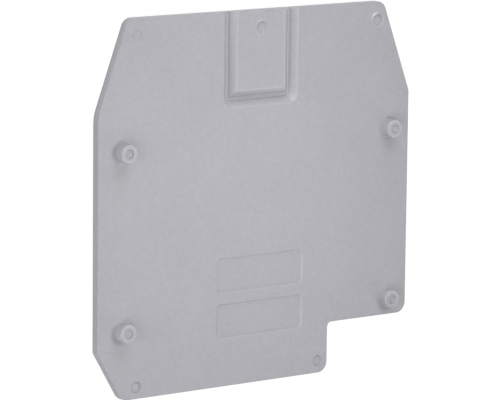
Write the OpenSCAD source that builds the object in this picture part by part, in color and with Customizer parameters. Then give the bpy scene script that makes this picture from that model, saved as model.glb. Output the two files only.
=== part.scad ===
// Terminal block end cover: one thin moulded plate that closes the open side of
// a row of rail-mounted terminals. It lies on its flat outer face at Z = 0, with
// the four locating pegs pointing up (+Z). +Y runs to the narrow top edge, and
// the step in the outline is at the bottom right (+X, -Y). Millimetres.

/* [Plate] */
// Overall width of the plate, left to right
plate_width = 62; // [58:0.5:68]
// Overall height of the plate, bottom to top edge
plate_height = 61.2; // [58:0.2:68]
// Thickness of the plate
plate_thickness = 1.5; // [1.3:0.1:2.2]
// Width of the top edge between the two slanted sides
top_width = 50.8; // [46:0.2:56]
// How far the slanted upper sides run down
slant_height = 15.2; // [12:0.2:18]
// Edge break around the rim of the inner face
edge_break = 0.28; // [0.1:0.02:0.4]

/* [Bottom edge] */
// Width of the step cut out of the bottom right
step_width = 16.35; // [12:0.05:20]
// Height of the step cut out of the bottom right
step_height = 8.35; // [6:0.05:12]
// Width of the slanted bottom left corner
slant_corner_width = 4.75; // [3:0.05:7]
// Height of the slanted bottom left corner
slant_corner_height = 8.15; // [5:0.05:10]

/* [Corner radii] */
// Radius of the two top corners, and of the three bottom corners
corner_radius = 1.8; // [1:0.1:2.4]
// Radius of the bend between the upper slant and the left side
left_bend_radius = 6; // [2:0.5:12]
// Radius of the bend between the upper slant and the right side
right_bend_radius = 1; // [0.6:0.1:3]
// Radius of the bend between the left side and the slanted bottom corner
lower_bend_radius = 0.9; // [0.9:0.1:2]
// Radius inside the step
step_inner_radius = 0.9; // [0.6:0.1:2]

/* [Locating pegs] */
// Diameter of each peg
peg_diameter = 3.1; // [2.6:0.05:3.6]
// Height of each peg above the plate
peg_height = 1.8; // [1.4:0.1:3]
// Peg spacing across the plate
peg_spacing_x = 53; // [48:0.1:54]
// Peg spacing up the plate
peg_spacing_y = 28.8; // [24:0.1:32]
// Centre of the four pegs, left to right
peg_centre_x = 0.3; // [-1:0.1:1]
// Centre of the four pegs, bottom to top
peg_centre_y = -5; // [-7:0.1:-3]
// Diameter of the blind coring hole in the peg's end
peg_core_diameter = 1.5; // [1:0.05:1.8]
// Depth of the blind coring hole
peg_core_depth = 0.3; // [0.2:0.1:1]
// Bevel around the peg's end
peg_bevel = 0.15; // [0.05:0.05:0.4]

/* [Grooved tab at the top edge] */
// Width of the tab's flat top
tab_width = 9.7; // [7:0.1:11]
// Left-to-right centre of the tab
tab_centre_x = 0.45; // [-2:0.05:2]
// Height of the tab's lower edge above the plate's middle
tab_bottom_y = 17.6; // [14:0.05:22]
// Sideways run of the tab's sloped flanks
tab_slope_run = 1.0; // [0.8:0.05:1.3]
// Depth of the groove around the tab
groove_depth = 0.95; // [0.7:0.05:1.1]
// Width of the groove's flat bottom
groove_floor = 0.45; // [0.3:0.05:0.8]
// Sideways run of the groove's outer wall
groove_wall_run = 1.0; // [0.8:0.05:1.3]
// Radius of the groove's lower corners, at the face
groove_corner_radius = 1.5; // [1.4:0.1:2.4]

/* [Label fields and ejector marks] */
// Width of each recessed label field
field_width = 16.95; // [14:0.05:20]
// Height of each recessed label field
field_height = 5.45; // [4:0.05:6]
// Left-to-right centre of the label fields
field_centre_x = 0.6; // [-2:0.02:2]
// Middle of the upper label field
field_upper_y = -12.2; // [-13:0.05:-11]
// Middle of the lower label field
field_lower_y = -19.75; // [-21:0.05:-19]
// Depth of the label fields
field_depth = 0.2; // [0.08:0.02:0.3]
// Corner radius of the label fields
field_radius = 0.7; // [0.3:0.1:1]
// Diameter of the round ejector marks
mark_diameter = 1.85; // [1.4:0.05:2.2]
// Depth of the round ejector marks
mark_depth = 0.16; // [0.04:0.02:0.2]

/* [Hidden] */
$fn = 96;
shade = [0.68, 0.68, 0.71];
t = plate_thickness;
hw = plate_width / 2;
hh = plate_height / 2;

// Outline vertices, anticlockwise: [x, y, radius, concave]
outline = [
    [-top_width / 2, hh, corner_radius, false],
    [-hw, hh - slant_height, left_bend_radius, false],
    [-hw, -hh + slant_corner_height, lower_bend_radius, false],
    [-hw + slant_corner_width, -hh, corner_radius, false],
    [hw - step_width, -hh, corner_radius, false],
    [hw - step_width, -hh + step_height, step_inner_radius, true],
    [hw, -hh + step_height, corner_radius, false],
    [hw, hh - slant_height, right_bend_radius, false],
    [top_width / 2, hh, corner_radius, false]
];
n = len(outline);

function at(i) = let (v = outline[(i + n) % n]) [v[0], v[1]];
function unit(v) = v / norm(v);
// Half of the angle between the two edges that meet at vertex i
function half(i) = let (a = unit(at(i - 1) - at(i)), b = unit(at(i + 1) - at(i))) acos(a * b) / 2;
function reach(i) = outline[i][2] / tan(half(i));
function from_prev(i) = at(i) + unit(at(i - 1) - at(i)) * reach(i);
function to_next(i) = at(i) + unit(at(i + 1) - at(i)) * reach(i);
function pivot(i) = at(i) + unit(unit(at(i - 1) - at(i)) + unit(at(i + 1) - at(i))) * outline[i][2] / sin(half(i));

// Plate blank: straight runs, then a bevelled disc in every outer corner
module blank() {
    union() {
        difference() {
            linear_extrude(height = t)
                polygon([for (i = [0 : n - 1]) each [from_prev(i), pivot(i), to_next(i)]]);
            for (i = [0 : n - 1]) {
                a = to_next(i);
                b = from_prev((i + 1) % n);
                translate([a[0], a[1], 0])
                    rotate([0, 0, atan2(b[1] - a[1], b[0] - a[0])])
                        rotate([90, 0, 90])
                            linear_extrude(height = norm(b - a))
                                polygon([
                                    [-0.4, t - edge_break - 0.4],
                                    [edge_break + 0.4, t + 0.4],
                                    [-0.4, t + 0.4]
                                ]);
                if (outline[i][3]) {
                    r = outline[i][2];
                    c = pivot(i);
                    translate([c[0], c[1], 0]) {
                        translate([0, 0, -1]) cylinder(r = r, h = t + 2);
                        rotate_extrude()
                            polygon([
                                [0, t - edge_break - 0.4],
                                [r - 0.4, t - edge_break - 0.4],
                                [r + edge_break + 0.4, t + 0.4],
                                [0, t + 0.4]
                            ]);
                    }
                }
            }
        }
        for (i = [0 : n - 1])
            if (!outline[i][3]) {
                r = outline[i][2];
                c = pivot(i);
                translate([c[0], c[1], 0])
                    rotate_extrude()
                        polygon([[0, 0], [r, 0], [r, t - edge_break], [r - edge_break, t], [0, t]]);
            }
    }
}

tab_half = tab_width / 2;
mouth_half = tab_half + tab_slope_run + groove_floor + groove_wall_run;
mouth_bottom = tab_bottom_y - tab_slope_run - groove_floor - groove_wall_run;
slope = groove_wall_run / groove_depth;
over = 0.5;

// Trough with sloping walls and round lower corners, open at the top edge
module trough() {
    z0 = t - groove_depth;
    floor_half = mouth_half - groove_wall_run;
    rc = groove_corner_radius;
    // both sides
    translate([tab_centre_x, hh + 2, 0])
        rotate([90, 0, 0])
            linear_extrude(height = hh + 2 - mouth_bottom - rc)
                polygon([
                    [-floor_half, z0],
                    [floor_half, z0],
                    [mouth_half + over * slope, t + over],
                    [-mouth_half - over * slope, t + over]
                ]);
    // lower end
    translate([tab_centre_x - mouth_half + rc, 0, 0])
        rotate([90, 0, 90])
            linear_extrude(height = 2 * (mouth_half - rc))
                polygon([
                    [mouth_bottom + groove_wall_run, z0],
                    [mouth_bottom + rc + 1, z0],
                    [mouth_bottom + rc + 1, t + over],
                    [mouth_bottom - over * slope, t + over]
                ]);
    // lower corners
    for (s = [-1, 1])
        translate([tab_centre_x + s * (mouth_half - rc), mouth_bottom + rc, 0])
            rotate_extrude()
                polygon([
                    [0, z0],
                    [rc - groove_wall_run, z0],
                    [rc + over * slope, t + over],
                    [0, t + over]
                ]);
}

// Tab left standing in the trough, with mitred flanks up to the face
module tab() {
    zl = t - groove_depth;
    k = tab_slope_run / groove_depth;
    foot_half = tab_half + tab_slope_run;
    foot_bottom = tab_bottom_y - tab_slope_run;
    intersection() {
        translate([tab_centre_x, hh + 3, 0])
            rotate([90, 0, 0])
                linear_extrude(height = hh + 3 - foot_bottom + 1)
                    polygon([
                        [-foot_half - 0.1 * k, zl - 0.1],
                        [foot_half + 0.1 * k, zl - 0.1],
                        [tab_half - (over + 0.2) * k, t + over + 0.2],
                        [-tab_half + (over + 0.2) * k, t + over + 0.2]
                    ]);
        translate([tab_centre_x - foot_half - 1, 0, 0])
            rotate([90, 0, 90])
                linear_extrude(height = 2 * foot_half + 2)
                    polygon([
                        [foot_bottom - 0.1 * k, zl - 0.1],
                        [hh + 3, zl - 0.1],
                        [hh + 3, t + over + 0.2],
                        [tab_bottom_y + (over + 0.2) * k, t + over + 0.2]
                    ]);
    }
}

module label_field(y) {
    w = field_width;
    h = field_height;
    r = field_radius;
    translate([field_centre_x, y, t - field_depth]) {
        translate([-w / 2 + r, -h / 2, 0]) cube([w - 2 * r, h, 1]);
        translate([-w / 2, -h / 2 + r, 0]) cube([w, h - 2 * r, 1]);
        for (sx = [-1, 1], sy = [-1, 1])
            translate([sx * (w / 2 - r), sy * (h / 2 - r), 0]) cylinder(r = r, h = 1);
    }
}

module ejector_mark(x, y) {
    translate([x, y, t - mark_depth]) cylinder(d = mark_diameter, h = 1);
}

module peg(x, y) {
    r = peg_diameter / 2;
    top = t + peg_height;
    translate([x, y, 0])
        rotate_extrude()
            polygon([
                [0, t - 0.3],
                [r, t - 0.3],
                [r, top - peg_bevel],
                [r - peg_bevel, top],
                [peg_core_diameter / 2, top],
                [peg_core_diameter / 2, top - peg_core_depth],
                [0, top - peg_core_depth]
            ]);
}

module end_cover() {
    color(shade)
        union() {
            difference() {
                blank();
                difference() {
                    trough();
                    tab();
                }
                label_field(field_upper_y);
                label_field(field_lower_y);
                ejector_mark(-23.75, 27.8);
                ejector_mark(24, 27.6);
                ejector_mark(-23.7, -28.6);
                ejector_mark(12.55, -28.5);
                ejector_mark(tab_centre_x - 0.05, 27.75);
            }
            for (sx = [-1, 1], sy = [-1, 1])
                peg(peg_centre_x + sx * peg_spacing_x / 2, peg_centre_y + sy * peg_spacing_y / 2);
        }
}

end_cover();
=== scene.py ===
"""Looks of the terminal block end cover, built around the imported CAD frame.

The cover lies on its flat outer face with its pegs up. Lengths in the modelling code are millimetres in the part's
own frame, and the finished mesh is scaled to metres.
"""
import math

import bpy
import numpy as np
from mathutils import Matrix, Vector
from mathutils.geometry import delaunay_2d_cdt


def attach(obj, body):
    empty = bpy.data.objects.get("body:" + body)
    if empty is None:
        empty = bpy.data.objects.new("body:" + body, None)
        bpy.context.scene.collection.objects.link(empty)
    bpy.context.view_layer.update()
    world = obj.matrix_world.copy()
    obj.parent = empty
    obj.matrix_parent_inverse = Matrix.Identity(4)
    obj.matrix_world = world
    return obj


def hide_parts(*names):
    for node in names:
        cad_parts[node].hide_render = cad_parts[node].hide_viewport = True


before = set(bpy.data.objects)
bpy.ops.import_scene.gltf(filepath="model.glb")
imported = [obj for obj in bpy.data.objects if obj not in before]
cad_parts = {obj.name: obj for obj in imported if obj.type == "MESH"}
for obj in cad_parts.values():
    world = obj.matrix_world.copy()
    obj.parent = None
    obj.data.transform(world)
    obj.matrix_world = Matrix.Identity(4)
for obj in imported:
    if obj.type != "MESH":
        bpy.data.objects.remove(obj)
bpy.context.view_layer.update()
scene = bpy.context.scene

MM = 0.001

# ---------------------------------------------------------------- dimensions
T = 1.5  # plate thickness
RIM = 0.28  # rounded edge of the inner face
BACK = 0.08  # rounded edge of the outer face

# Outline vertices, anticlockwise: x, y, radius, inner corner
OUTLINE = [
    (-25.4, 30.6, 1.8, False),
    (-31.0, 15.4, 6.0, False),
    (-31.0, -22.45, 0.9, False),
    (-26.25, -30.6, 1.8, False),
    (14.65, -30.6, 1.8, False),
    (14.65, -22.25, 0.9, True),
    (31.0, -22.25, 1.8, False),
    (31.0, 15.4, 1.0, False),
    (25.4, 30.6, 1.8, False),
]
TOP = 30.6

TAB_X, TAB_HALF, TAB_Y = 0.45, 4.85, 17.6
TAB_RUN, GROOVE_DEPTH, GROOVE_FLOOR, WALL_RUN, MOUTH_R = 1.0, 0.95, 0.45, 1.0, 1.5
MOUTH_HALF = TAB_HALF + TAB_RUN + GROOVE_FLOOR + WALL_RUN
MOUTH_Y = TAB_Y - TAB_RUN - GROOVE_FLOOR - WALL_RUN
CREASE_W, CREASE_D = 0.09, 0.08  # half width and depth of the fine crease at each slope's foot

FIELD_X, FIELD_W, FIELD_H, FIELD_DEPTH = 0.6, 16.95, 5.45, 0.2
FIELD_YS = (-12.2, -19.75)
FIELD_RL, FIELD_RR = 0.7, 0.8

MARK_R = 0.925
# x, y, depth, burr height, direction of the burr in degrees (None all round)
MARKS = [
    (-23.75, 27.8, 0.10, 0.01, None),
    (24.0, 27.6, 0.16, 0.12, 118.0),
    (-23.7, -28.6, 0.16, 0.04, None),
    (12.55, -28.5, 0.16, 0.03, None),
    (0.4, 27.75, 0.16, 0.05, 110.0),
]
# Painted light and shade of each mark. Painted shade in the wall: how dark, which way most (degrees), how one-sided,
# how wide; painted highlight on the burr: how pale, which way; second painted highlight arc; painted lightening of
# the floor (negative darkens)
MARK_LIGHT_AND_SHADE = [
    (0.0, 20.0, 1.0, 0.16, 0.0, 135.0, 0.0, 0.0, 0.0),
    (0.20, 30.0, 1.4, 0.18, 0.65, 122.0, 0.18, -25.0, 0.06),
    (0.22, 20.0, 0.5, 0.18, 0.08, 50.0, 0.06, -80.0, 0.06),
    (0.14, 60.0, 0.5, 0.18, 0.05, 60.0, 0.0, 0.0, -0.02),
    (0.14, 100.0, 0.95, 0.30, 0.20, 105.0, 0.05, -80.0, 0.02),
]

PEG_R, PEG_H, PEG_CORE_R, PEG_CORE_DEPTH = 1.55, 1.8, 0.75, 0.3
PEGS = [(0.3 + sx * 26.5, -5.0 + sy * 14.4) for sx in (-1, 1) for sy in (-1, 1)]


# ---------------------------------------------------------------- profiles
def rounded(points, radii, steps=5):
    """A polyline of (place, height) with its corners rounded: rows of place, height, slope angle."""
    rows = []

    def angle(i):
        (x0, z0), (x1, z1) = points[i], points[i + 1]
        return math.atan2(z1 - z0, x1 - x0)

    rows.append((*points[0], angle(0)))
    for i in range(1, len(points) - 1):
        a0, a1, r = angle(i - 1), angle(i), radii[i - 1]
        turn = a1 - a0
        side = 1 if turn > 0 else -1
        back = r * abs(math.tan(turn / 2))
        sx, sz = points[i][0] - back * math.cos(a0), points[i][1] - back * math.sin(a0)
        cx, cz = sx - side * r * math.sin(a0), sz + side * r * math.cos(a0)
        for k in range(steps + 1):
            a = a0 + turn * k / steps
            rows.append((cx + side * r * math.sin(a), cz - side * r * math.cos(a), a))
    rows.append((*points[-1], angle(len(points) - 2)))
    return np.array(rows)


TROUGH = rounded(
    [(-3, T), (0, T), (WALL_RUN, T - GROOVE_DEPTH), (4, T - GROOVE_DEPTH)],
    [0.3, 0.06],
)
TAB = rounded(
    [
        (-6, T),
        (0, T),
        (TAB_RUN, T - GROOVE_DEPTH),
        (TAB_RUN + 3, T - GROOVE_DEPTH - 3),
    ],
    [0.3, 0.05],
    steps=5,
)
FIELD = rounded(
    [(-1, 0), (-0.1, 0), (0.1, -FIELD_DEPTH), (3, -FIELD_DEPTH)], [0.12, 0.12], steps=3
)


def crease(d, foot):
    """Depth and slope of the fine crease just past the foot of a slope."""
    t = (d - foot) / CREASE_W - 1
    on = np.abs(t) < 1
    return np.where(on, (1 - np.abs(t)) * CREASE_D, 0), np.where(
        on, -np.sign(t) * CREASE_D / CREASE_W, 0
    )


def left_share(way):
    """Full where a slope faces left, part where it faces up or down the plate, none where it faces right."""
    return 0.55 + 0.45 * np.clip(-way[:, 0], 0, 1) - 0.55 * np.clip(way[:, 0], 0, 1)


def mark_profile(depth, burr):
    return rounded(
        [
            (-1, -depth),
            (MARK_R - 0.12, -depth),
            (MARK_R - 0.02, burr),
            (MARK_R + 0.04, burr),
            (MARK_R + 0.2, 0),
            (2.5, 0),
        ],
        [0.05, 0.03, 0.03, 0.08],
        steps=3,
    )


def read(profile, s):
    """Height and slope (rise over run) of a profile at s."""
    z = np.interp(s, profile[:, 0], profile[:, 1])
    a = np.interp(s, profile[:, 0], profile[:, 2])
    return z, np.tan(a)


# ---------------------------------------------------------------- outline
class Corner:
    def __init__(self, i):
        n = len(OUTLINE)
        p = np.array(OUTLINE[i][:2])
        a = np.array(OUTLINE[i - 1][:2]) - p
        b = np.array(OUTLINE[(i + 1) % n][:2]) - p
        a /= np.linalg.norm(a)
        b /= np.linalg.norm(b)
        half = math.acos(float(a @ b)) / 2
        self.r, self.inner = OUTLINE[i][2], OUTLINE[i][3]
        self.start = p + a * self.r / math.tan(half)
        self.end = p + b * self.r / math.tan(half)
        mid = (a + b) / np.linalg.norm(a + b)
        self.c = p + mid * self.r / math.sin(half)
        t0, t1 = self.start - self.c, self.end - self.c
        self.a0 = math.atan2(t0[1], t0[0])
        turn = math.atan2(t1[1], t1[0]) - self.a0
        self.turn = (turn + math.pi) % (2 * math.pi) - math.pi


CORNERS = [Corner(i) for i in range(len(OUTLINE))]


def rim_loop(d):
    """Points of the outline moved in by d, the same number for every d."""
    pts = []
    for i, c in enumerate(CORNERS):
        steps = max(3, round(abs(c.turn) / math.radians(7)))
        r = c.r + d if c.inner else c.r - d
        for k in range(steps + 1):
            a = c.a0 + c.turn * k / steps
            pts.append(c.c + r * np.array([math.cos(a), math.sin(a)]))
        nxt = CORNERS[(i + 1) % len(CORNERS)]
        run = nxt.start - c.end
        length = np.linalg.norm(run)
        run = run / length
        inward = np.array([-run[1], run[0]])
        cuts = max(1, round(length / 3.0))
        for k in range(1, cuts):
            pts.append(c.end + run * length * k / cuts + inward * d)
    return np.array(pts)


def rim_distance(p):
    """Distance in from the outline, and the outward direction of its nearest point."""
    best = np.full(len(p), 1e9)
    out = np.zeros((len(p), 2))
    for i, c in enumerate(CORNERS):
        nxt = CORNERS[(i + 1) % len(CORNERS)]
        run = nxt.start - c.end
        length = np.linalg.norm(run)
        run = run / length
        inward = np.array([-run[1], run[0]])
        rel = p - c.end
        along = rel @ run
        dist = rel @ inward
        ok = (along >= -1e-5) & (along <= length + 1e-5) & (dist > -1e-3) & (dist < best)
        best[ok] = dist[ok]
        out[ok] = -inward
        rel = p - c.c
        rho = np.linalg.norm(rel, axis=1)
        unit = rel / np.maximum(rho, 1e-9)[:, None]
        ang = np.arctan2(rel[:, 1], rel[:, 0])
        t = (ang - c.a0 + math.pi) % (2 * math.pi) - math.pi
        share = t / c.turn
        dist = rho - c.r if c.inner else c.r - rho
        ok = (share >= -1e-4) & (share <= 1 + 1e-4) & (dist > -1e-3) & (dist < best)
        best[ok] = dist[ok]
        out[ok] = (-unit if c.inner else unit)[ok]
    return np.maximum(best, 0.0), out


# ---------------------------------------------------------------- inner face as a height field
def rounded_box(p, centre, half, radius):
    """Depth inside a rounded rectangle and its inward direction."""
    rel = p - centre
    q = np.abs(rel) - (half - radius[:, None])
    pos = np.maximum(q, 0)
    far = np.linalg.norm(pos, axis=1)
    sd = far + np.minimum(q.max(1), 0) - radius
    g = np.where(
        (far > 1e-9)[:, None],
        pos / np.maximum(far, 1e-9)[:, None],
        np.where(q[:, [0]] > q[:, [1]], [[1.0, 0.0]], [[0.0, 1.0]]),
    )
    return -sd, -g * np.sign(rel)


def mouth(p):
    height = 60.0
    centre = np.array([TAB_X, MOUTH_Y + height])
    return rounded_box(
        p, centre, np.array([MOUTH_HALF, height]), np.full(len(p), MOUTH_R)
    )


def local(p):
    """Height of the inner face, without its rim, and its gradient."""
    n = len(p)
    s, inward = mouth(p)
    zt, kt = read(TROUGH, s)
    qx, qy = np.abs(p[:, 0] - TAB_X) - TAB_HALF, TAB_Y - p[:, 1]
    q = np.maximum(qx, qy)
    away = np.where(
        (qx > qy)[:, None],
        np.stack([np.sign(p[:, 0] - TAB_X), np.zeros(n)], 1),
        np.array([[0.0, -1.0]]),
    )
    zp, kp = read(TAB, q)
    use = zp > zt
    cs, ks = crease(s, WALL_RUN)
    cq, kq = crease(q, TAB_RUN)
    ws, wq = left_share(inward), left_share(away)
    cs, ks, cq, kq = cs * ws, ks * ws, cq * wq, kq * wq
    z = np.where(use, zp, zt - cs - cq)
    g = np.where(
        use[:, None],
        kp[:, None] * away,
        (kt - ks)[:, None] * inward - kq[:, None] * away,
    )
    for y in FIELD_YS:
        rel = p - np.array([FIELD_X, y])
        radius = np.where(rel[:, 0] < 0, FIELD_RL, FIELD_RR)
        s, inward = rounded_box(
            p, np.array([FIELD_X, y]), np.array([FIELD_W / 2, FIELD_H / 2]), radius
        )
        near = s > -0.5
        dz, k = read(FIELD, s)
        z = z + np.where(near, dz, 0)
        g = g + np.where(near, k, 0)[:, None] * inward
    for x, y, depth, burr, side in MARKS:
        rel = p - np.array([x, y])
        rho = np.linalg.norm(rel, axis=1)
        near = rho < 1.6
        if not near.any():
            continue
        dz, k = read(mark_profile(depth, burr), rho)
        if side is not None:
            ang = np.arctan2(rel[:, 1], rel[:, 0]) - math.radians(side)
            f = np.where(dz > 0, 0.15 + 0.85 * np.clip(np.cos(ang), 0, 1) ** 4, 1.0)
            dz, k = dz * f, k * f
        z = z + np.where(near, dz, 0)
        unit = rel / np.maximum(rho, 1e-6)[:, None]
        g = g + np.where(near, k, 0)[:, None] * unit
    return z, g


def rim_drop(d):
    """How far the rounded rim has fallen at distance d from the outline, and its turn from level (0) to the side (90)."""
    share = np.clip(1 - d / RIM, 0, 1)
    return RIM * (1 - np.sqrt(np.maximum(0, 1 - share**2))), np.arcsin(share)


def face_height(p):
    z, _ = local(p)
    d, _ = rim_distance(p)
    drop, _ = rim_drop(d)
    return z - drop


def corner_normals(p, towards):
    """Normals at p as seen from the face whose middle is at towards."""
    step = towards - p
    length = np.linalg.norm(step, axis=1, keepdims=True)
    q = p + step / np.maximum(length, 1e-9) * np.minimum(0.2 * length, 0.004)
    _, g = local(q)
    flat = np.concatenate([-g, np.ones((len(p), 1))], 1)
    flat /= np.linalg.norm(flat, axis=1, keepdims=True)
    d, out = rim_distance(p)
    _, turn = rim_drop(d)
    side = np.concatenate([out, np.zeros((len(p), 1))], 1)
    n = flat * np.cos(turn)[:, None] + side * np.sin(turn)[:, None]
    return n / np.linalg.norm(n, axis=1, keepdims=True)


def side_painted_shade(out):
    """The side wall gets painted shade, darker than the face, most of all on the left."""
    return SIDE_SHADE_LEVEL * (0.35 + 0.65 * np.clip(-1.25 * out[:, 0], 0, 1))


def painted_light(p):
    """Painted light and shade on the plain plastic: painted highlights on edges, painted shade in creases and corners
    and beside walls and pegs.
    """

    def line(d, at, wide):
        return np.exp(-(((d - at) / wide) ** 2))

    def ramp(x):
        return np.clip(x / 0.1, 0, 1)

    d, out = rim_distance(p)
    # painted shade on the face's edge next to the side wall
    t = -side_painted_shade(out) * (1 - 1.4 * np.clip(out[:, 1], 0, 0.5)) * line(d, 0.0, 0.085)
    s, inward = mouth(p)
    lit = np.clip(inward @ np.array([-0.8, 0.8]), 0, 1)
    qx, qy = np.abs(p[:, 0] - TAB_X) - TAB_HALF, TAB_Y - p[:, 1]
    q = np.maximum(qx, qy)
    away = np.stack([np.where(qx > qy, np.sign(p[:, 0] - TAB_X), 0.0), np.where(qx > qy, 0.0, -1.0)], 1)
    # painted highlight on the pad's top edges, painted shade in the crease at each slope's foot
    t += EDGE_HIGHLIGHT * line(q, -0.12, 0.16)
    t += EDGE_WIDE_HIGHLIGHT * (np.clip(away[:, 0], 0, 1) + 0.7 * np.clip(-away[:, 1], 0, 1)) * line(q, -0.3, 0.4)
    t -= FOOT_SHADE_LEVEL * left_share(away) * line(q, TAB_RUN + CREASE_W, 0.16)
    # painted highlight on the groove's mouth where it faces up and left and in its lower right corner, painted shade
    # at the wall's foot
    t += EDGE_HIGHLIGHT * lit * line(s, 0.0, 0.16)
    t += EDGE_WIDE_HIGHLIGHT * np.clip(inward[:, 1], 0, 1) * line(s, 0.0, 0.4)
    t += CORNER_HIGHLIGHT * np.clip(inward @ np.array([-0.707, 0.707]), 0, 1) ** 12 * line(s, 0.2, 0.45)
    t -= FOOT_SHADE_LEVEL * left_share(inward) * line(s, WALL_RUN + CREASE_W, 0.14)
    flank = ramp(q - 0.05) * ramp(TAB_RUN + 0.05 - q) * (s > 0.5 * WALL_RUN)
    wall = ramp(s - 0.05) * ramp(WALL_RUN + 0.05 - s) * (q > 0.5 * TAB_RUN)
    # painted light and shade on slopes facing left, down or up the plate, and right, by how the light falls on them
    t += flank * (np.stack([-away[:, 0], -away[:, 1], away[:, 0]], 1).clip(0, 1) @ FLANK_LIGHT_AND_SHADE)
    t += wall * (np.stack([-inward[:, 0], inward[:, 1], inward[:, 0]], 1).clip(0, 1) @ WALL_LIGHT_AND_SHADE)
    # painted light on the groove floor
    t += GROOVE_FLOOR_LIGHT * ramp(s - WALL_RUN) * ramp(q - TAB_RUN)
    for y in FIELD_YS:
        rel = p - np.array([FIELD_X, y])
        radius = np.where(rel[:, 0] < 0, FIELD_RL, FIELD_RR)
        s, inward = rounded_box(
            p, np.array([FIELD_X, y]), np.array([FIELD_W / 2, FIELD_H / 2]), radius
        )
        # painted highlight just outside each field's lit walls and on its walls, painted shade just inside
        lit = np.clip(inward @ np.array([-0.8, 0.8]), 0, 1)
        t += FIELD_RIM_LIGHT_AND_SHADE * lit * line(s, -0.16, 0.16)
        t += FIELD_WALL_HIGHLIGHT * np.clip(inward[:, 0], 0, 1) * line(s, 0.05, 0.2)
        t += 0.4 * FIELD_WALL_HIGHLIGHT * np.clip(-inward[:, 1], 0, 1) * line(s, 0.04, 0.16)
        t -= 0.5 * FIELD_RIM_LIGHT_AND_SHADE * lit * line(s, 0.14, 0.14)
    for (x, y, *_), (painted_shade, way, bias, wide, painted_highlight, burr_way, arc, arc_way, floor) in zip(MARKS, MARK_LIGHT_AND_SHADE):
        rel = p - np.array([x, y])
        rho = np.linalg.norm(rel, axis=1)
        ang = np.arctan2(rel[:, 1], rel[:, 0])
        # painted shade in each mark's wall, painted highlight on its burr and outside arc, painted light on its floor
        share = 1 - bias * (0.5 - 0.5 * np.cos(ang - math.radians(way)))
        t -= painted_shade * share * np.where(rho < MARK_R + 0.1, line(rho, MARK_R - 0.1, wide), 0)
        t += floor * ramp(MARK_R - 0.15 - rho)
        share = np.clip(np.cos(ang - math.radians(burr_way)), 0, 1) ** 6
        t += painted_highlight * share * line(rho, MARK_R + 0.2, 0.22)
        share = np.clip(np.cos(ang - math.radians(arc_way)), 0, 1) ** 2
        t += arc * share * line(rho, MARK_R + 0.3, 0.2)
    for (x, y), painted_shade in zip(PEGS, PEG_SHADOW_LEVEL):
        # painted shadow to the left of each peg, painted light above it and, for the left pegs, below it
        rel = p - np.array([x, y])
        rho = np.linalg.norm(rel, axis=1)
        low_left = rel @ np.array([-0.97, 0.26] if x < 0 else [-0.8, -0.6]) / np.maximum(rho, 1e-6)
        above = rel @ np.array([0.26, 0.97]) / np.maximum(rho, 1e-6)
        far = np.maximum(rho - PEG_R, 0)
        t -= painted_shade * (0.5 + 0.5 * low_left) * np.exp(-far / (0.5 if x < 0 else 0.4))
        t += PEG_LIGHT_ABOVE * np.clip(above, 0, 1) * np.exp(-far / 1.2)
        if x < 0:
            below = rel @ np.array([-0.4, -0.92]) / np.maximum(rho, 1e-6)
            t += 0.07 * np.clip(below, 0, 1) ** 2 * np.exp(-far / 0.5)
    return t


SIDE_SHADE_LEVEL = 0.24
EDGE_HIGHLIGHT, EDGE_WIDE_HIGHLIGHT, FOOT_SHADE_LEVEL = 0.06, 0.05, 0.15
FLANK_LIGHT_AND_SHADE = np.array([0.08, -0.06, 0.18])
WALL_LIGHT_AND_SHADE = np.array([0.02, 0.045, 0.10])
GROOVE_FLOOR_LIGHT, CORNER_HIGHLIGHT = 0.16, 0.13
FIELD_WALL_HIGHLIGHT, FIELD_RIM_LIGHT_AND_SHADE = 0.10, 0.075
# Painted shadow beside each peg: bottom left, top left, bottom right and top right peg
PEG_SHADOW_LEVEL = (0.07, 0.06, 0.30, 0.29)
PEG_LIGHT_ABOVE = 0.08

# ---------------------------------------------------------------- guide lines of the inner face
guide_pts, guide_edges = [], []


def guide(points, closed):
    base = len(guide_pts)
    guide_pts.extend((float(x), float(y)) for x, y in points)
    n = len(points)
    guide_edges.extend((base + i, base + i + 1) for i in range(n - 1))
    if closed:
        guide_edges.append((base + n - 1, base))


RIM_STEPS = 6
for k in range(RIM_STEPS + 1):
    guide(rim_loop(RIM * (1 - math.cos(math.radians(90 * k / RIM_STEPS)))), True)
guide(rim_loop(0.8), True)

REACH = TOP + 0.4
for s in sorted(
    {round(float(v), 5) for v in TROUGH[:, 0] if -0.3 < v < 1.3}
    | {-0.45, -0.3, -0.2, 0.3, 0.5, 0.7, WALL_RUN}
    | {WALL_RUN + CREASE_W, WALL_RUN + 2 * CREASE_W}
):
    half, low, r = MOUTH_HALF - s, MOUTH_Y + s, max(MOUTH_R - s, 0.05)
    pts = [(TAB_X - half, REACH), (TAB_X - half, 24.0)]
    for k in range(9):
        a = math.pi + math.pi / 2 * k / 8
        pts.append((TAB_X - half + r + r * math.cos(a), low + r + r * math.sin(a)))
    for k in range(9):
        a = 1.5 * math.pi + math.pi / 2 * k / 8
        pts.append((TAB_X + half - r + r * math.cos(a), low + r + r * math.sin(a)))
    pts += [(TAB_X + half, 24.0), (TAB_X + half, REACH)]
    guide(pts, False)
for q in sorted(
    {round(float(v), 5) for v in TAB[:, 0] if -0.3 < v < TAB_RUN + 0.05}
    | {-0.9, -0.7, -0.5, -0.35, -0.22, 0.35, 0.55, 0.8}
    | {TAB_RUN + CREASE_W, TAB_RUN + 2 * CREASE_W}
):
    half, low = TAB_HALF + q, TAB_Y - q
    guide(
        [
            (TAB_X - half, REACH),
            (TAB_X - half, low),
            (TAB_X + half, low),
            (TAB_X + half, REACH),
        ],
        False,
    )
for side in (-1, 1):
    guide(
        [
            (TAB_X + side * (TAB_HALF - 0.2), TAB_Y + 0.2),
            (TAB_X + side * (TAB_HALF + TAB_RUN), TAB_Y - TAB_RUN),
        ],
        False,
    )
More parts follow.
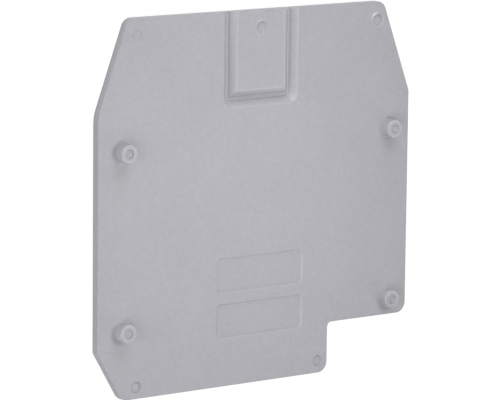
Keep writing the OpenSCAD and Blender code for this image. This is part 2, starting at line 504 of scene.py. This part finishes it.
for y in FIELD_YS:
    for s in sorted(
        {round(float(v), 5) for v in FIELD[:, 0] if -0.5 < v < 1.0}
        | {-0.4, -0.25, -0.15, 0.1, 0.35, 0.5}
    ):
        w, h = FIELD_W / 2 - s, FIELD_H / 2 - s
        pts = []
        for cx, cy, a0, r0 in (
            (1, 1, 0, FIELD_RR),
            (-1, 1, 90, FIELD_RL),
            (-1, -1, 180, FIELD_RL),
            (1, -1, 270, FIELD_RR),
        ):
            r = max(r0 - s, 0.02)
            for k in range(7):
                a = math.radians(a0 + 15 * k)
                pts.append(
                    (
                        FIELD_X + cx * (w - r) + r * math.cos(a),
                        y + cy * (h - r) + r * math.sin(a),
                    )
                )
        guide(pts, True)
for x, y, depth, burr, side in MARKS:
    radii = sorted(
        {round(float(v), 5) for v in mark_profile(depth, burr)[:, 0] if 0.1 < v < 1.6}
        | {0.5, 0.65, 1.15, 1.3, 1.5}
    )
    for rho in radii:
        guide(
            [
                (
                    x + rho * math.cos(math.radians(9 * k)),
                    y + rho * math.sin(math.radians(9 * k)),
                )
                for k in range(40)
            ],
            True,
        )
PEG_FOOT = PEG_R + 0.16
PEG_SIDES = 64
TURNS = [2 * math.pi * k / PEG_SIDES for k in range(PEG_SIDES)]
for x, y in PEGS:
    guide(
        [(x + PEG_FOOT * math.cos(a), y + PEG_FOOT * math.sin(a)) for a in TURNS], True
    )
    for rho in (1.85, 2.05, 2.3, 2.7, 3.2):
        guide(
            [(x + rho * math.cos(a), y + rho * math.sin(a)) for a in TURNS[::2]], True
        )

out_v, _, out_f, *_ = delaunay_2d_cdt(
    [Vector(p) for p in guide_pts], guide_edges, [], 0, 1e-5, False
)
flat = np.array([(v.x, v.y) for v in out_v])
tris = np.array([tuple(f) for f in out_f if len(f) == 3])


def inside(points, ring):
    """Which points lie inside a closed ring."""
    hit = np.zeros(len(points), bool)
    for a, b in zip(ring, np.roll(ring, -1, axis=0)):
        cross = (a[1] > points[:, 1]) != (b[1] > points[:, 1])
        with np.errstate(divide="ignore", invalid="ignore"):
            x = (b[0] - a[0]) * (points[:, 1] - a[1]) / (b[1] - a[1]) + a[0]
        hit ^= cross & (points[:, 0] < x)
    return hit


middle = flat[tris].mean(1)
keep = inside(middle, rim_loop(0.0))
for x, y in PEGS:
    keep &= np.hypot(middle[:, 0] - x, middle[:, 1] - y) > PEG_FOOT * math.cos(
        math.pi / PEG_SIDES
    ) - 1e-4
tris = tris[keep]
e1, e2 = (
    flat[tris[:, 1]] - flat[tris[:, 0]],
    flat[tris[:, 2]] - flat[tris[:, 0]],
)
area = e1[:, 0] * e2[:, 1] - e1[:, 1] * e2[:, 0]
tris[area < 0] = tris[area < 0][:, ::-1]

# ---------------------------------------------------------------- mesh
verts, faces, normals = [], [], []


def add_face(idx, nor):
    faces.append(tuple(int(i) for i in idx))
    normals.extend([tuple(n) for n in nor])


used = np.unique(tris)
place = {int(old): new for new, old in enumerate(used)}
front = flat[used]
verts = [(*p, z) for p, z in zip(front.tolist(), face_height(front).tolist())]
painted_light_values = dict(enumerate(painted_light(front).tolist()))
tris = np.array([[place[int(i)] for i in t] for t in tris])
mids = front[tris].mean(1)
cn = [corner_normals(front[tris[:, k]], mids) for k in range(3)]
for j, t in enumerate(tris):
    add_face(t, (cn[0][j], cn[1][j], cn[2][j]))

# Outer boundary of the face, in order
count = {}
for t in tris:
    for a, b in ((t[0], t[1]), (t[1], t[2]), (t[2], t[0])):
        count[(int(a), int(b))] = 1
border = {a: b for (a, b) in count if (b, a) not in count}
dist, _ = rim_distance(front)
start = min(a for a in border if dist[a] < 1e-3 and front[a][1] > 30)
chain = [start]
while border[chain[-1]] != start:
    chain.append(border[chain[-1]])
rim_xy = front[chain]
_, rim_out = rim_distance(rim_xy)
side_n = np.concatenate([rim_out, np.zeros((len(chain), 1))], 1)

# Side wall, rounded outer edge and outer face
rings, ring_n = [np.array(chain)], [side_n]
for k in range(4):
    a = math.radians(30 * k)
    d = BACK * (1 - math.cos(a))
    base = len(verts)
    # the side wall and rounded outer edge carry the same painted shade
    for p, o, painted_shade in zip(rim_xy, rim_out, side_painted_shade(rim_out)):
        q = p - o * d
        painted_light_values[len(verts)] = -float(painted_shade)
        verts.append((q[0], q[1], BACK - BACK * math.sin(a)))
    rings.append(np.arange(base, base + len(chain)))
    ring_n.append(side_n * math.cos(a) + np.array([0, 0, -1.0]) * math.sin(a))
m = len(chain)
for (ra, na), (rb, nb) in zip(
    zip(rings[:-1], ring_n[:-1]), zip(rings[1:], ring_n[1:])
):
    for i in range(m):
        j = (i + 1) % m
        add_face((ra[i], rb[i], rb[j], ra[j]), (na[i], nb[i], nb[j], na[j]))
low = np.array([verts[i][:2] for i in rings[-1]])
bv, _, bf, bo, *_ = delaunay_2d_cdt(
    [Vector(p) for p in low], [(i, (i + 1) % m) for i in range(m)], [], 0, 1e-6, True
)
bv = np.array([(v.x, v.y) for v in bv])
bf = np.array([tuple(f) for f in bf if len(f) == 3])
bf = bf[inside(bv[bf].mean(1), low)]
back_index = [int(rings[-1][o[0]]) for o in bo]
for f in bf:
    a, b, c = (back_index[i] for i in f)
    u, v = np.subtract(verts[b], verts[a]), np.subtract(verts[c], verts[a])
    if u[0] * v[1] - u[1] * v[0] > 0:
        b, c = c, b
    add_face((a, b, c), [(0, 0, -1.0)] * 3)

# Pegs, turned from a profile of radius, height and the angle of its normal above level
top = T + PEG_H
# Painted light and shade of each peg's side, painted shade at the lower left of the side and of the bevel, painted
# light in the dimple, how much paler the dimple is painted on its left than on its right, and painted shade line at
# the foot
PEG_LIGHT_AND_SHADE = [
    (0.12, 0.0, 0.0, 0.07, 0.0, 0.12),
    (0.12, 0.0, 0.0, 0.07, 0.0, 0.12),
    (0.03, 0.14, 0.20, 0.03, 0.08, 0.25),
    (0.13, 0.08, 0.06, 0.10, 0.10, 0.25),
]
# painted highlight on each peg's rim
PEG_RIM_HIGHLIGHT = 0.11
peg_rows = []
fil = 0.16
for k in range(6):
    a = math.radians(90 - 18 * k)
    peg_rows.append((PEG_R + fil - fil * math.cos(a), T + fil - fil * math.sin(a), a))
bev = 0.2
for k in range(7):
    a = math.radians(2 + 88 * k / 6)
    peg_rows.append((PEG_R - 0.025 - bev + bev * math.cos(a), top - bev + bev * math.sin(a), a))
lip = 0.07
for k in range(6):
    a = math.radians(90 + 88 * k / 5)
    peg_rows.append((PEG_CORE_R + lip + lip * math.cos(a), top - lip + lip * math.sin(a), a))
dip = 0.12
for k in range(6):
    a = math.radians(178 - 88 * k / 5)
    peg_rows.append((PEG_CORE_R - 0.05 - dip - dip * math.cos(a), top - PEG_CORE_DEPTH + dip - dip * math.sin(a), a))

for (x, y), row in zip(PEGS, PEG_LIGHT_AND_SHADE):
    side_light, low_side, low_bevel, dimple_light, dimple_left, foot_shade_line = row
    near = np.abs(np.hypot(front[:, 0] - x, front[:, 1] - y) - PEG_FOOT) < 2e-4
    idx = np.nonzero(near)[0]
    ang = np.arctan2(front[idx, 1] - y, front[idx, 0] - x)
    order = idx[np.argsort(ang)]
    ang = np.sort(ang)
    n = len(order)
    prev, prev_n = order, [(0, 0, 1.0)] * n
    for rho, z, a in peg_rows[1:]:
        base = len(verts)
        # painted light and shade of this row: painted highlight on the rim, painted shade at the foot and lower left,
        # painted light in the dimple
        painted_highlight, low_left, above, foot_shade_here, left = side_light, low_side, 0.0, 0.0, 0.0
        if z < T + fil - 0.01:
            painted_highlight, low_left, above = 0.0, 0.0, 0.06
            foot_shade_here = foot_shade_line * math.sin(2 * a) + 0.03
        if z > top - 0.25:
            painted_highlight = PEG_RIM_HIGHLIGHT * math.exp(-(((rho - PEG_R + 0.25) / 0.3) ** 2))
            low_left, above = (low_bevel, 0.04) if rho > PEG_R - 0.3 else (0.0, 0.0)
        if rho < PEG_CORE_R:
            painted_highlight, left = dimple_light, dimple_left
        for t in ang:
            c, h = math.cos(t), math.sin(t)
            light_and_shade_here = painted_highlight - low_left * max(0.0, -0.8 * c - 0.6 * h) + above * max(0.0, h)
            painted_light_values[len(verts)] = light_and_shade_here - foot_shade_here * max(0.0, -c) - left * c
            verts.append((x + rho * math.cos(t), y + rho * math.sin(t), z))
        cur = np.arange(base, base + n)
        cur_n = [
            (math.cos(a) * math.cos(t), math.cos(a) * math.sin(t), math.sin(a))
            for t in ang
        ]
        for i in range(n):
            j = (i + 1) % n
            add_face(
                (prev[i], prev[j], cur[j], cur[i]),
                (prev_n[i], prev_n[j], cur_n[j], cur_n[i]),
            )
        prev, prev_n = cur, cur_n
    base = len(verts)
    painted_light_values[base] = dimple_light
    verts.append((x, y, top - PEG_CORE_DEPTH))
    for i in range(n):
        j = (i + 1) % n
        add_face((prev[i], prev[j], base), [(0, 0, 1.0)] * 3)

mesh = bpy.data.meshes.new("end_cover_moulding")
mesh.from_pydata([(x * MM, y * MM, z * MM) for x, y, z in verts], [], faces)
mesh.polygons.foreach_set("use_smooth", [True] * len(faces))
mesh.update()
mesh.normals_split_custom_set(normals)
# per-vertex painted light and shade, which scales the plastic's colour
layer = mesh.attributes.new("painted_light", "FLOAT", "POINT")
layer.data.foreach_set("value", [painted_light_values.get(i, 0.0) for i in range(len(verts))])
mesh.update()
cover = bpy.data.objects.new("end_cover_moulding", mesh)
scene.collection.objects.link(cover)


# ---------------------------------------------------------------- materials
def plastic():
    mat = bpy.data.materials.new("grey_polyamide")
    mat.use_nodes = True
    nt = mat.node_tree
    nt.nodes.clear()
    new = nt.nodes.new
    link = nt.links.new
    out = new("ShaderNodeOutputMaterial")
    bsdf = new("ShaderNodeBsdfPrincipled")
    link(bsdf.outputs["BSDF"], out.inputs["Surface"])
    coord = new("ShaderNodeTexCoord")

    def noise(scale, detail, rough=0.5):
        node = new("ShaderNodeTexNoise")
        node.inputs["Scale"].default_value = scale
        node.inputs["Detail"].default_value = detail
        node.inputs["Roughness"].default_value = rough
        link(coord.outputs["Object"], node.inputs["Vector"])
        return node

    def ramp(node, stops):
        r = new("ShaderNodeValToRGB")
        els = r.color_ramp.elements
        els[0].position, els[0].color = stops[0]
        els[1].position, els[1].color = stops[1]
        link(node.outputs["Fac"], r.inputs["Fac"])
        return r

    cloudy = noise(95, 4)
    tint = ramp(
        cloudy,
        [
            (0.3, (0.337, 0.333, 0.360, 1)),
            (0.7, (0.349, 0.345, 0.372, 1)),
        ],
    )
    speck = noise(1700, 2, 0.6)
    fine = ramp(speck, [(0.35, (0.965, 0.965, 0.965, 1)), (0.65, (1.02, 1.02, 1.02, 1))])
    mix = new("ShaderNodeMix")
    mix.data_type = "RGBA"
    mix.blend_type = "MULTIPLY"
    mix.inputs["Factor"].default_value = 1.0
    link(tint.outputs["Color"], mix.inputs["A"])
    link(fine.outputs["Color"], mix.inputs["B"])
    # painted light and shade from the mesh scales the base colour
    painted_light_node = new("ShaderNodeAttribute")
    painted_light_node.attribute_name = "painted_light"
    shade = new("ShaderNodeMath")
    shade.operation = "ADD"
    shade.inputs[1].default_value = 1.0
    link(painted_light_node.outputs["Fac"], shade.inputs[0])
    body = new("ShaderNodeVectorMath")
    body.operation = "SCALE"
    link(mix.outputs["Result"], body.inputs[0])
    link(shade.outputs["Value"], body.inputs["Scale"])
    link(body.outputs["Vector"], bsdf.inputs["Base Color"])

    rough = new("ShaderNodeMapRange")
    rough.inputs["To Min"].default_value = 0.52
    rough.inputs["To Max"].default_value = 0.66
    link(noise(240, 3).outputs["Fac"], rough.inputs["Value"])
    link(rough.outputs["Result"], bsdf.inputs["Roughness"])

    grain = noise(5200, 3, 0.6)
    b1 = new("ShaderNodeBump")
    b1.inputs["Strength"].default_value = 0.25
    b1.inputs["Distance"].default_value = 0.00002
    link(grain.outputs["Fac"], b1.inputs["Height"])
    wave = noise(130, 2)
    b2 = new("ShaderNodeBump")
    b2.inputs["Strength"].default_value = 0.35
    b2.inputs["Distance"].default_value = 0.00006
    link(wave.outputs["Fac"], b2.inputs["Height"])
    link(b1.outputs["Normal"], b2.inputs["Normal"])
    link(b2.outputs["Normal"], bsdf.inputs["Normal"])
    bsdf.inputs["IOR"].default_value = 1.5
    return mat


def floor_material():
    mat = bpy.data.materials.new("pale_floor")
    mat.use_nodes = True
    bsdf = mat.node_tree.nodes["Principled BSDF"]
    bsdf.inputs["Base Color"].default_value = (0.25, 0.25, 0.25, 1)
    bsdf.inputs["Roughness"].default_value = 0.9
    bsdf.inputs["Specular IOR Level"].default_value = 0.1
    bsdf.inputs["Emission Color"].default_value = (1.0, 1.0, 1.0, 1)
    bsdf.inputs["Emission Strength"].default_value = 0.8
    return mat


cover.data.materials.append(plastic())
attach(cover, "root")
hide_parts("end_cover")

# ---------------------------------------------------------------- floor, light and camera
bpy.ops.mesh.primitive_plane_add(size=4.0, location=(0, 0, -0.00004))
floor = bpy.context.object
floor.name = "floor"
floor.data.materials.append(floor_material())

world = bpy.data.worlds.new("studio")
scene.world = world
world.use_nodes = True
bg = world.node_tree.nodes["Background"]
bg.inputs["Color"].default_value = (1.0, 1.0, 1.0, 1)
bg.inputs["Strength"].default_value = 0.235


def area(name, where, aim, size, power):
    data = bpy.data.lights.new(name, "AREA")
    data.shape = "DISK"
    data.size = size
    data.energy = power
    light = bpy.data.objects.new(name, data)
    scene.collection.objects.link(light)
    light.location = where
    light.rotation_mode = "QUATERNION"
    light.rotation_quaternion = (Vector(where) - Vector(aim)).to_track_quat("Z", "Y")
    return light


area("overhead", (0.01, 0.0, 0.09), (0.0, 0.0, 0.0), 0.06, 0.0450)
area("top_edge", (0.0, 0.136, 0.063), (0.0, 0.0, 0.0), 0.12, 0.1217)
area("lower_left", (-0.0682, -0.0682, 0.1149), (0.0, 0.0, 0.0), 0.10, 0.0540)
area("left_fill", (-0.2853, 0.0, 0.0927), (0.0, 0.0, 0.0), 0.20, 0.3360)
area("corner_fill", (-0.2017, -0.2017, 0.0927), (0.0, 0.0, 0.0), 0.20, 0.1400)
area("right_fill", (0.2017, -0.2017, 0.0927), (0.0, 0.0, 0.0), 0.20, 0.1410)

cam_data = bpy.data.cameras.new("camera")
cam = bpy.data.objects.new("camera", cam_data)
scene.collection.objects.link(cam)
scene.camera = cam
cam_data.sensor_fit = "HORIZONTAL"
cam_data.sensor_width = 36.0
cam_data.lens = 3459.65 / 500 * 36.0
cam_data.clip_start, cam_data.clip_end = 0.01, 20.0
right = Vector((0.81001736, 0.01071177, 0.58630805))
up = Vector((0.08772408, 0.98636871, -0.13921655))
back = Vector((-0.57980717, 0.16420116, 0.79803611))
where = Vector((-326.369, 91.710, 448.585)) * MM
cam.matrix_world = Matrix(
    (
        (right.x, up.x, back.x, where.x),
        (right.y, up.y, back.y, where.y),
        (right.z, up.z, back.z, where.z),
        (0, 0, 0, 1),
    )
)

scene.view_settings.view_transform = "Standard"
scene.view_settings.look = "None"
scene.view_settings.exposure = 0.0
scene.view_settings.gamma = 1.0

bpy.context.view_layer.update()
